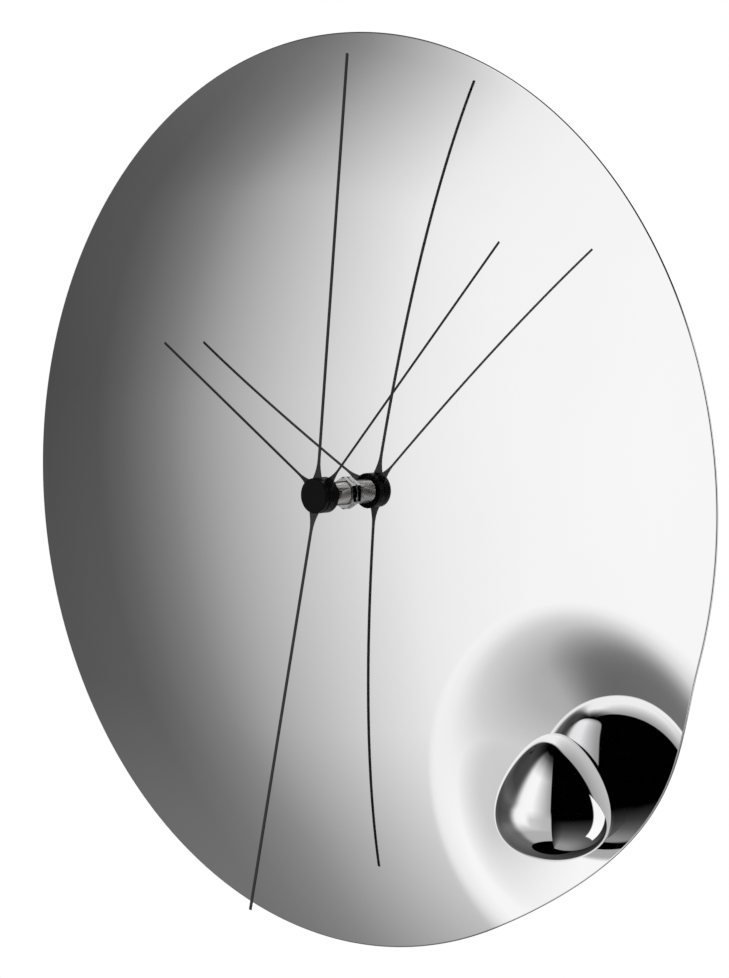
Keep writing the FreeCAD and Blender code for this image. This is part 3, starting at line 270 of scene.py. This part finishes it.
# Materials and the nodes that they are made of.
class Nodes:
    """Short ways to add nodes to one tree."""

    def __init__(self, tree):
        self.tree = tree

    def add(self, kind, **settings):
        node = self.tree.nodes.new(kind)
        for name, value in settings.items():
            setattr(node, name, value)
        return node

    def set(self, node, **inputs):
        for name, value in inputs.items():
            socket = node.inputs[name.replace("_", " ").title()]
            if isinstance(value, bpy.types.NodeSocket):
                self.tree.links.new(value, socket)
            else:
                socket.default_value = value
        return node

    def math(self, operation, first, second=None):
        node = self.add("ShaderNodeMath", operation=operation)
        for socket, value in zip(node.inputs, (first, second)):
            if isinstance(value, bpy.types.NodeSocket):
                self.tree.links.new(value, socket)
            elif value is not None:
                socket.default_value = value
        return node.outputs[0]

    def span(self, value, low, high, start=0.0, end=1.0):
        node = self.add("ShaderNodeMapRange")
        self.set(node, Value=value, From_Min=low, From_Max=high, To_Min=start, To_Max=end)
        return node.outputs[0]

    def ramp(self, value, low, high, stops):
        """Straight runs between stops, each a place between low and high and a strength."""
        node = self.add("ShaderNodeValToRGB")
        elements = node.color_ramp.elements
        elements.remove(elements[-1])
        for number, (place, strength) in enumerate(stops):
            position = (place - low) / (high - low)
            element = elements[0] if number == 0 else elements.new(position)
            element.position = position
            element.color = (strength, strength, strength, 1.0)
        self.tree.links.new(self.span(value, low, high), node.inputs["Fac"])
        return node.outputs["Color"]

    def noise(self, scale, detail=3.0, stretch=(1.0, 1.0, 1.0)):
        place = self.add("ShaderNodeTexCoord").outputs["Object"]
        mapping = self.set(self.add("ShaderNodeMapping"), Vector=place, Scale=stretch)
        texture = self.add("ShaderNodeTexNoise")
        self.set(texture, Vector=mapping.outputs[0], Scale=scale, Detail=detail)
        return texture.outputs[0]

    def bands(self, direction, pitch):
        """Fine parallel grooves across the given axis, one each pitch."""
        place = self.add("ShaderNodeTexCoord").outputs["Object"]
        texture = self.add("ShaderNodeTexWave", bands_direction=direction)
        self.set(texture, Vector=place, Scale=math.pi / (WAVE_FACTOR * pitch))
        return texture.outputs["Fac"]

    def bump(self, height, distance, strength=1.0):
        node = self.add("ShaderNodeBump")
        self.set(node, Height=height, Distance=distance, Strength=strength)
        return node.outputs[0]

    def blend(self, share, first, second):
        node = self.add("ShaderNodeMix", data_type="RGBA")
        self.tree.links.new(share, node.inputs[0])
        node.inputs[6].default_value = (*first, 1.0)
        node.inputs[7].default_value = (*second, 1.0)
        return node.outputs[2]


def start_material(name, metallic):
    material = bpy.data.materials.new(name)
    material.use_nodes = True
    shader = material.node_tree.nodes["Principled BSDF"]
    shader.inputs["Metallic"].default_value = metallic
    return material, shader, Nodes(material.node_tree)


def finish_of(
    name, dark, light, metallic, rough, grain,
    relief=0.0, stretch=(1.0, 1.0, 1.0), grooves=None, gloss=0.5,
):
    """A material whose colour and roughness follow one grain, and its relief too unless grooved."""
    material, shader, nodes = start_material(name, metallic)
    shader.inputs["Specular IOR Level"].default_value = gloss
    pattern = nodes.noise(grain, stretch=stretch)
    colour = nodes.blend(nodes.span(pattern, GRAIN_LOW, GRAIN_HIGH), dark, light)
    nodes.tree.links.new(colour, shader.inputs["Base Color"])
    roughness = nodes.span(pattern, GRAIN_LOW, GRAIN_HIGH, *rough)
    nodes.tree.links.new(roughness, shader.inputs["Roughness"])
    if grooves:
        direction, pitch, depth = grooves
        normal = nodes.bump(nodes.bands(direction, pitch), depth)
        nodes.tree.links.new(normal, shader.inputs["Normal"])
    elif relief:
        nodes.tree.links.new(nodes.bump(pattern, relief), shader.inputs["Normal"])
    return material


def grey(tone, blue=0.0):
    return (tone, tone, tone + blue)


# Finishes: two tones, how metallic, the range of roughness, the grain's scale, and what else differs.
FINISHES = {
    "mirror_steel": dict(
        dark=grey(0.915, 0.005), light=grey(0.93, 0.005), metallic=1.0, rough=(0.015, 0.03),
        grain=9.0,
    ),
    "satin_steel": dict(
        dark=grey(0.55, 0.005), light=grey(0.66, 0.008), metallic=1.0, rough=(0.32, 0.42),
        grain=420.0, stretch=(1.0, 1.0, 0.03),
    ),
    "black_paint": dict(
        dark=grey(0.003), light=grey(0.005), metallic=0.0, rough=(0.3, 0.42), grain=900.0,
        relief=1e-5, gloss=0.06,
    ),
    "black_lacquer": dict(
        dark=grey(0.003), light=grey(0.005), metallic=0.0, rough=(0.16, 0.24), grain=900.0,
    ),
    "nickel_brass": dict(
        dark=(0.58, 0.56, 0.52), light=(0.8, 0.78, 0.75), metallic=1.0, rough=(0.04, 0.1),
        grain=260.0, stretch=(1.0, 0.15, 1.0),
    ),
    "bright_nickel": dict(
        dark=grey(0.38), light=grey(0.52, 0.005), metallic=1.0, rough=(0.03, 0.09), grain=300.0,
    ),
    "zinc_steel": dict(
        dark=(0.5, 0.51, 0.54), light=(0.64, 0.65, 0.66), metallic=1.0, rough=(0.25, 0.4),
        grain=420.0, relief=1e-5,
    ),
    "rubber": dict(
        dark=grey(0.02), light=grey(0.035), metallic=0.0, rough=(0.75, 0.9), grain=1500.0,
        relief=3e-5,
    ),
    "black_case": dict(
        dark=grey(0.03, 0.002), light=grey(0.045, 0.003), metallic=0.0, rough=(0.42, 0.58),
        grain=2600.0, relief=3e-5,
    ),
    "white_plastic": dict(
        dark=(0.8, 0.8, 0.77), light=(0.87, 0.87, 0.85), metallic=0.0, rough=(0.35, 0.5),
        grain=900.0, relief=1e-5,
    ),
    "brass": dict(
        dark=(0.6, 0.44, 0.18), light=(0.78, 0.6, 0.3), metallic=1.0, rough=(0.18, 0.32),
        grain=500.0, stretch=(1.0, 0.1, 1.0),
    ),
    "bright_steel": dict(
        dark=grey(0.55), light=grey(0.7, 0.01), metallic=1.0, rough=(0.15, 0.28), grain=600.0,
        stretch=(1.0, 0.1, 1.0),
    ),
    "magnet": dict(
        dark=grey(0.12), light=grey(0.2), metallic=0.6, rough=(0.4, 0.6), grain=1800.0,
        relief=2e-5,
    ),
    "soft_iron": dict(
        dark=grey(0.42), light=grey(0.55, 0.01), metallic=1.0, rough=(0.3, 0.45), grain=800.0,
        stretch=(1.0, 4.0, 1.0),
    ),
    "copper": dict(
        dark=(0.62, 0.26, 0.1), light=(0.8, 0.42, 0.2), metallic=1.0, rough=(0.22, 0.36),
        grain=700.0, grooves=("X", WIRE_PITCH * MM, 6e-5),
    ),
    "board_green": dict(
        dark=(0.03, 0.15, 0.06), light=(0.06, 0.24, 0.1), metallic=0.0, rough=(0.25, 0.4),
        grain=500.0, relief=2e-5,
    ),
    "battery_wrap": dict(
        dark=grey(0.07, 0.005), light=grey(0.12, 0.01), metallic=0.1, rough=(0.2, 0.32),
        grain=140.0,
    ),
    "bracket_steel": dict(
        dark=grey(0.04, 0.003), light=grey(0.06, 0.004), metallic=0.0, rough=(0.5, 0.65),
        grain=1900.0, relief=4e-5,
    ),
}
MATERIALS = {name: finish_of(name, **finish) for name, finish in FINISHES.items()}

# Pieces whose finish differs from their slot's.
FINISH_OF_NODE = {
    "central_nut": "bright_nickel",
    "nut_washer": "bright_nickel",
    "contact_plus": "bright_nickel",
    "contact_minus": "bright_nickel",
    "second_hand": "black_lacquer",
    "minute_hand": "black_lacquer",
    "hour_hand": "black_lacquer",
}
for subpart in frame["record"]["subparts"]:
    name = subpart["node"]
    chosen = FINISH_OF_NODE.get(name, subpart["material_slot"])
    data = frame["nodes"][name].data
    data.materials.clear()
    data.materials.append(MATERIALS[chosen])

make_dish()
make_pebble()
make_bushing()


# Studio: white for the camera, a plain level for matt surfaces, panels for the mirror.
def make_world():
    world = bpy.data.worlds.new("studio")
    bpy.context.scene.world = world
    world.use_nodes = True
    world.node_tree.nodes.clear()
    nodes = Nodes(world.node_tree)
    link = world.node_tree.links.new
    split = nodes.add("ShaderNodeSeparateXYZ")
    link(nodes.add("ShaderNodeTexCoord").outputs["Generated"], split.inputs[0])
    x, y, z = split.outputs
    to_degrees = 180 / math.pi
    ahead = nodes.math("MULTIPLY", y, -1.0)
    across = nodes.math("MULTIPLY", nodes.math("ARCTAN2", x, ahead), to_degrees)
    upright = nodes.math("MULTIPLY", nodes.math("ARCSINE", z), to_degrees)
    shift_stops = [(place, SHIFT_MIDDLE + shift / SHIFT_SPAN) for place, shift in PANEL_SHIFT]
    shift = nodes.math("SUBTRACT", nodes.ramp(upright, *UPRIGHT_RANGE, shift_stops), SHIFT_MIDDLE)
    shifted = nodes.math("SUBTRACT", across, nodes.math("MULTIPLY", shift, SHIFT_SPAN))
    soft = nodes.ramp(shifted, *ACROSS_RANGE, PANEL_SOFT_END)
    room = nodes.math(
        "MULTIPLY",
        nodes.ramp(upright, *UPRIGHT_RANGE, ROOM_UPRIGHT),
        nodes.ramp(across, *ACROSS_RANGE, ROOM_ACROSS),
    )
    unlit = nodes.math("MULTIPLY", nodes.math("SUBTRACT", 1.0, soft), room)
    high = nodes.ramp(across, *ACROSS_RANGE, PANEL_FADE_HIGH)
    low = nodes.ramp(across, *ACROSS_RANGE, PANEL_FADE_LOW)
    fade = nodes.add("ShaderNodeMix", data_type="RGBA")
    link(nodes.span(upright, HIGH_START, HIGH_END), fade.inputs[0])
    link(low, fade.inputs[6])
    link(high, fade.inputs[7])
    lit = nodes.math("ADD", soft, unlit)
    limit = nodes.ramp(upright, *UPRIGHT_RANGE, PANEL_LOW_LIMIT)
    panel = nodes.math("MULTIPLY", lit, nodes.math("MINIMUM", fade.outputs[2], limit))
    panel = nodes.math("MULTIPLY", panel, nodes.ramp(upright, *UPRIGHT_RANGE, PANEL_TOP))
    strip = nodes.math(
        "MULTIPLY",
        nodes.ramp(across, *ACROSS_RANGE, STRIP_ACROSS),
        nodes.ramp(upright, *UPRIGHT_RANGE, STRIP_UPRIGHT),
    )
    glow = nodes.math(
        "MULTIPLY",
        nodes.ramp(upright, *UPRIGHT_RANGE, GLOW_UPRIGHT),
        nodes.ramp(across, *ACROSS_RANGE, GLOW_ACROSS),
    )
    mirrored = nodes.add("ShaderNodeBackground")
    link(nodes.math("ADD", nodes.math("ADD", panel, strip), glow), mirrored.inputs["Color"])
    plain = nodes.add("ShaderNodeBackground")
    plain.inputs["Color"].default_value = (1.0, 1.0, 1.0, 1.0)
    choice = nodes.add("ShaderNodeMixShader")
    link(nodes.add("ShaderNodeLightPath").outputs["Is Glossy Ray"], choice.inputs[0])
    link(plain.outputs[0], choice.inputs[1])
    link(mirrored.outputs[0], choice.inputs[2])
    link(choice.outputs[0], nodes.add("ShaderNodeOutputWorld").inputs[0])


def make_floor():
    """A pale floor far below the clock, plain white to the camera, so it shows no shadow."""
    material = bpy.data.materials.new("pale_floor")
    material.use_nodes = True
    nodes = Nodes(material.node_tree)
    shader = material.node_tree.nodes["Principled BSDF"]
    shader.inputs["Base Color"].default_value = (*grey(FLOOR_TONE), 1.0)
    shader.inputs["Roughness"].default_value = FLOOR_ROUGHNESS
    glow = nodes.add("ShaderNodeEmission")
    seen = nodes.add("ShaderNodeMixShader")
    link = material.node_tree.links.new
    link(nodes.add("ShaderNodeLightPath").outputs["Is Camera Ray"], seen.inputs[0])
    link(shader.outputs[0], seen.inputs[1])
    link(glow.outputs[0], seen.inputs[2])
    link(seen.outputs[0], material.node_tree.nodes["Material Output"].inputs["Surface"])
    half = FLOOR_HALF
    corners = [(-half, -half), (half, -half), (half, half), (-half, half)]
    mesh = bpy.data.meshes.new("floor")
    mesh.from_pydata([(x, y, FLOOR_LEVEL) for x, y in corners], [], [(0, 1, 2, 3)])
    mesh.materials.append(material)
    floor = bpy.data.objects.new("floor", mesh)
    floor.visible_glossy = False
    bpy.context.scene.collection.objects.link(floor)


def make_camera():
    flat = math.cos(CAMERA_ELEVATION)
    away = Vector(
        (
            math.sin(CAMERA_AZIMUTH) * flat,
            -math.cos(CAMERA_AZIMUTH) * flat,
            math.sin(CAMERA_ELEVATION),
        )
    )
    data = bpy.data.cameras.new("camera")
    data.sensor_fit = "VERTICAL"
    data.sensor_height = CAMERA_SENSOR
    data.lens = CAMERA_LENS
    data.shift_x, data.shift_y = CAMERA_SHIFT
    data.clip_end = CAMERA_CLIP
    camera = bpy.data.objects.new("camera", data)
    bpy.context.scene.collection.objects.link(camera)
    camera.location = Vector((0, -DISH_STAND * MM, 0)) + CAMERA_DISTANCE * away
    camera.rotation_mode = "QUATERNION"
    camera.rotation_quaternion = (-away).to_track_quat("-Z", "Y")
    bpy.context.scene.camera = camera


make_world()
make_floor()
make_camera()
bpy.context.scene.view_settings.view_transform = "Standard"
